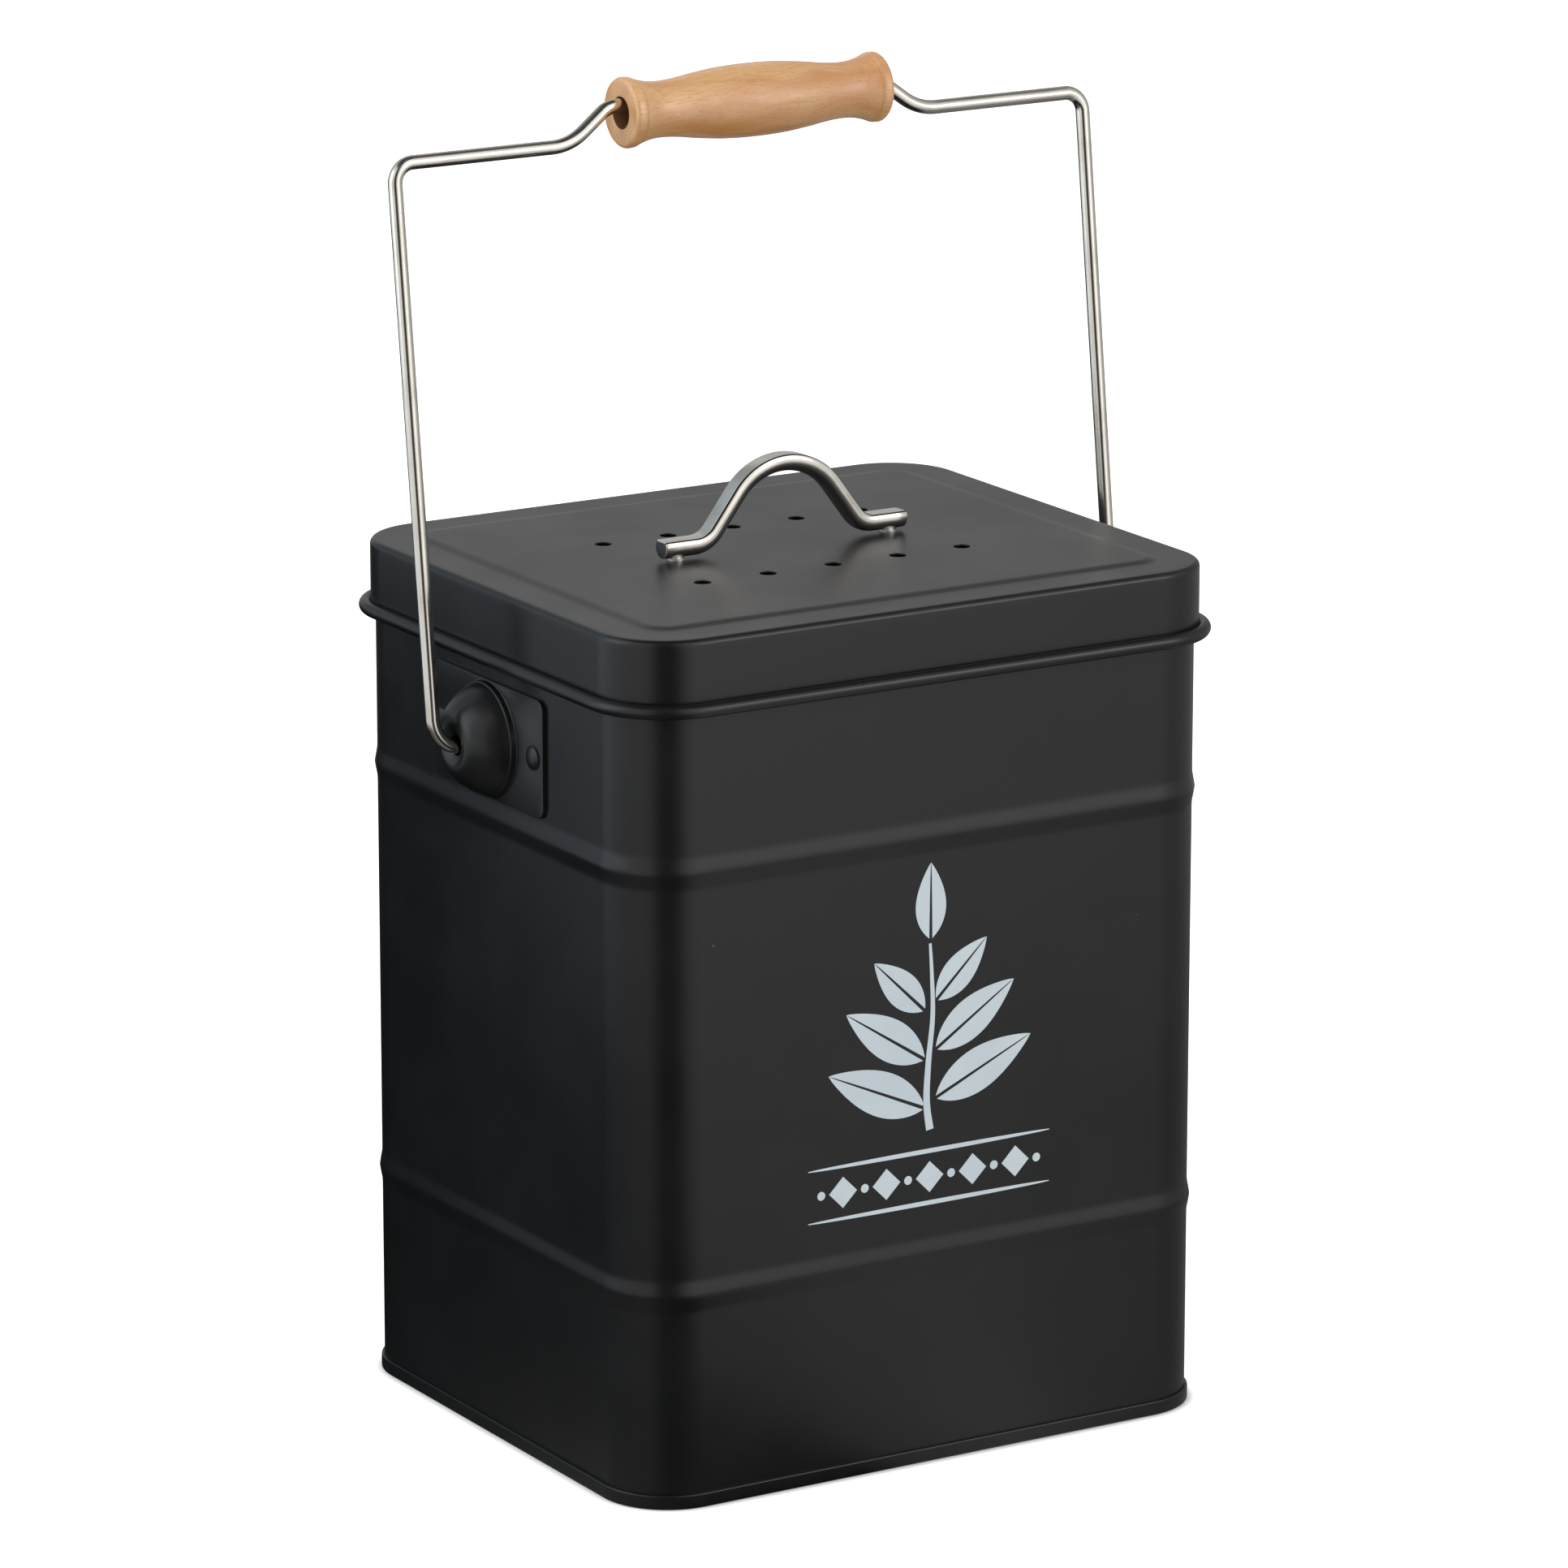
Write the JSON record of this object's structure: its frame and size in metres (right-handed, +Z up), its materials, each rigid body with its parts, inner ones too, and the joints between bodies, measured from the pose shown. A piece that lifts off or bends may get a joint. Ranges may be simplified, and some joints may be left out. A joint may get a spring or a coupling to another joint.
{
  "type": "compost caddy",
  "caption": "Rounded-rectangular steel compost caddy with a vented lift-off lid, a bent-bar lid handle and a swinging wire bail with a wooden grip.",
  "frame": {"origin": "under the middle of the bucket, on the surface it stands on", "axes": "+X from the left ear to the right ear, +Y from the front to the back, +Z up"},
  "size_m": [0.2422, 0.1826, 0.4045],
  "materials": {
    "black_enamel": "satin",
    "bail_steel": "brushed",
    "handle_steel": "polished",
    "beech_wood": "varnished",
    "charcoal_felt": "matte"
  },
  "bodies": {
    "caddy": {"body_shell": "black_enamel", "base_pan": "black_enamel", "left_ear": "black_enamel", "right_ear": "black_enamel", "left_ear_front_rivet": "black_enamel", "left_ear_back_rivet": "black_enamel", "right_ear_front_rivet": "black_enamel", "right_ear_back_rivet": "black_enamel"},
    "lid": {"lid_shell": "black_enamel", "lid_handle": "handle_steel", "handle_spacer_left": "handle_steel", "handle_spacer_right": "handle_steel", "handle_screw_left": "handle_steel", "handle_screw_right": "handle_steel", "screw_washer_left": "handle_steel", "screw_washer_right": "handle_steel", "filter_pad": "charcoal_felt", "front_left_clip": "handle_steel", "front_right_clip": "handle_steel", "back_left_clip": "handle_steel", "back_right_clip": "handle_steel"},
    "bail": {"bail_wire": "bail_steel"},
    "grip": {"wood_grip": "beech_wood"}
  },
  "joints": [
    {"name": "lid_lift", "type": "slide", "parent": "caddy", "child": "lid", "axis": [0, 0, 1], "range_m": [0, 0.06]},
    {"name": "bail_swing", "type": "hinge", "parent": "caddy", "child": "bail", "pos_m": [0, 0, 0.2151], "axis": [1, 0, 0], "range_deg": [-137, 151]},
    {"name": "grip_spin", "type": "hinge", "parent": "bail", "child": "grip", "pos_m": [0.002, 0.02191, 0.39351], "axis": [1, 0, 0], "continuous": true}
  ]
}
